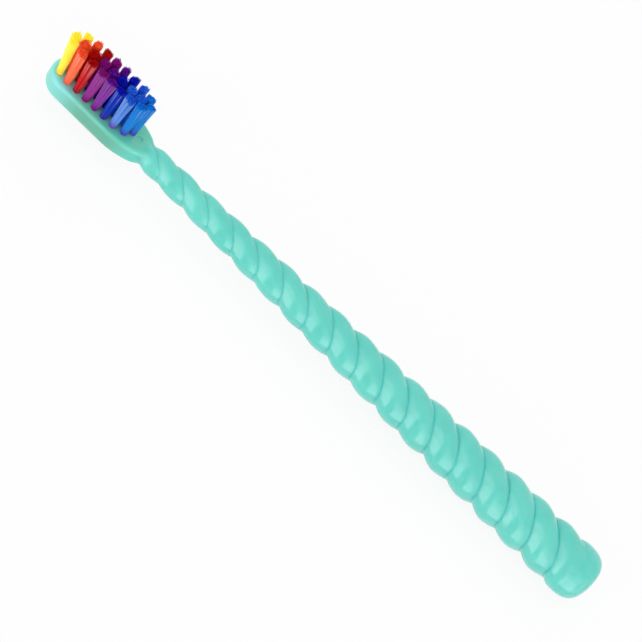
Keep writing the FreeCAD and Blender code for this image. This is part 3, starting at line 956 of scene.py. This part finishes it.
def seen_directly(tree):
    """1 for what the camera sees straight, in a reflection or through glass, and 0 for light."""
    path = add(tree, "ShaderNodeLightPath").outputs
    seen = combined(tree, "MAXIMUM", path["Is Camera Ray"], path["Is Glossy Ray"])
    return combined(tree, "MAXIMUM", seen, path["Is Transmission Ray"])


def floor_material(s):
    """A pale floor that looks white and keeps a part of the shadow."""
    material, tree, diffuse = new_material("pale_floor", "ShaderNodeBsdfDiffuse")
    diffuse.inputs["Color"].default_value = opaque(s.floor)
    white = add(tree, "ShaderNodeEmission", {"Color": opaque(WHITE), "Strength": 1.0})
    weight = combined(tree, "MULTIPLY", seen_directly(tree), 1.0 - s.shadow_share)
    mix = add(tree, "ShaderNodeMixShader", {0: weight, 1: diffuse.outputs[0], 2: white.outputs[0]})
    output = next(node for node in tree.nodes if node.type == "OUTPUT_MATERIAL")
    tree.links.new(mix.outputs[0], output.inputs["Surface"])
    return material


def studio_world(s):
    """Even light from all round that looks white to the camera."""
    world = bpy.data.worlds.new("studio")
    bpy.context.scene.world = world
    world.use_nodes = True
    tree = world.node_tree
    tree.nodes.clear()
    strength = add(tree, "ShaderNodeMapRange", {"Value": seen_directly(tree), "To Min": s.sky,
                                                "To Max": 1.0})
    sky = add(tree, "ShaderNodeBackground", {"Color": opaque(WHITE),
                                             "Strength": strength.outputs["Result"]})
    output = add(tree, "ShaderNodeOutputWorld")
    tree.links.new(sky.outputs[0], output.inputs["Surface"])


def photo_camera(s, m):
    """A camera that looks down on the brush, rolled so that the brush lies across the picture."""
    rise, roll = s.camera_rise, s.camera_roll
    towards = Vector((0.0, -math.cos(rise), math.sin(rise)))
    along = Vector((1.0, 0.0, 0.0))
    across = towards.cross(along)
    middle = Vector((0.0, 0.0, m.axis_z)) + along * s.picture_x + across * s.picture_n
    right = along * math.cos(roll) + across * math.sin(roll)
    up = across * math.cos(roll) - along * math.sin(roll)
    turned = Matrix((right, up, towards)).transposed().to_4x4()
    lens = bpy.data.cameras.new("camera")
    lens.lens = s.lens
    camera = bpy.data.objects.new("camera", lens)
    bpy.context.scene.collection.objects.link(camera)
    camera.matrix_world = Matrix.Translation(middle + towards * s.camera_distance) @ turned
    bpy.context.scene.camera = camera


class TOOTHBRUSH_OT_studio(bpy.types.Operator):
    """Make the floor, the lamps, the sky and the camera"""

    bl_idname = "toothbrush.studio"
    bl_label = "Studio"

    def execute(self, context):
        s = context.scene.toothbrush_studio
        m = context.scene.toothbrush_moulding
        context.scene.view_settings.view_transform = "Standard"
        edge = s.floor_size / 2
        mesh = bpy.data.meshes.new("floor")
        mesh.from_pydata([(-edge, -edge, 0), (edge, -edge, 0), (edge, edge, 0), (-edge, edge, 0)], [],
                         [(0, 1, 2, 3)])
        floor = new_piece("floor", mesh, floor_material(s))
        floor.visible_glossy = False
        for name, (bearing, rise, size, setting, part, lights, shows) in SOFT_BOXES.items():
            soft_box(name, bearing, rise, size, part * getattr(s, setting), lights, shows)
        studio_world(s)
        photo_camera(s, m)
        return {"FINISHED"}


class TOOTHBRUSH_PT_panel(bpy.types.Panel):
    """The brush's settings and the operators that make its pieces"""

    bl_idname = "TOOTHBRUSH_PT_panel"
    bl_label = "Toothbrush"
    bl_space_type = "VIEW_3D"
    bl_region_type = "UI"
    bl_category = "Toothbrush"

    def draw(self, context):
        for operators, settings in PANEL_ROWS:
            box = self.layout.box()
            for operator in operators:
                box.operator(operator.bl_idname)
            group = getattr(context.scene, settings)
            for name in group.__annotations__:
                box.prop(group, name, text=name.replace("_", " ").capitalize())


SETTINGS = {"toothbrush_moulding": MouldingSettings, "toothbrush_tufts": TuftSettings,
            "toothbrush_studio": StudioSettings}
OPERATORS = (TOOTHBRUSH_OT_moulding, TOOTHBRUSH_OT_tufts, TOOTHBRUSH_OT_anchor_plates,
             TOOTHBRUSH_OT_studio)
PANEL_ROWS = ((OPERATORS[:1], "toothbrush_moulding"), (OPERATORS[1:3], "toothbrush_tufts"),
              (OPERATORS[3:], "toothbrush_studio"))


def register():
    """Make the settings, the operators and the panel known."""
    for kind in (*SETTINGS.values(), *OPERATORS, TOOTHBRUSH_PT_panel):
        bpy.utils.register_class(kind)
    for name, kind in SETTINGS.items():
        setattr(bpy.types.Scene, name, PointerProperty(type=kind))


def unregister():
    """Take them away again."""
    for name in SETTINGS:
        delattr(bpy.types.Scene, name)
    for kind in (TOOTHBRUSH_PT_panel, *reversed(OPERATORS), *SETTINGS.values()):
        bpy.utils.unregister_class(kind)


def main():
    """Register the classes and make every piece."""
    register()
    bpy.ops.toothbrush.moulding()
    bpy.ops.toothbrush.tufts()
    bpy.ops.toothbrush.anchor_plates()
    bpy.ops.toothbrush.studio()


if __name__ == "__main__":
    main()
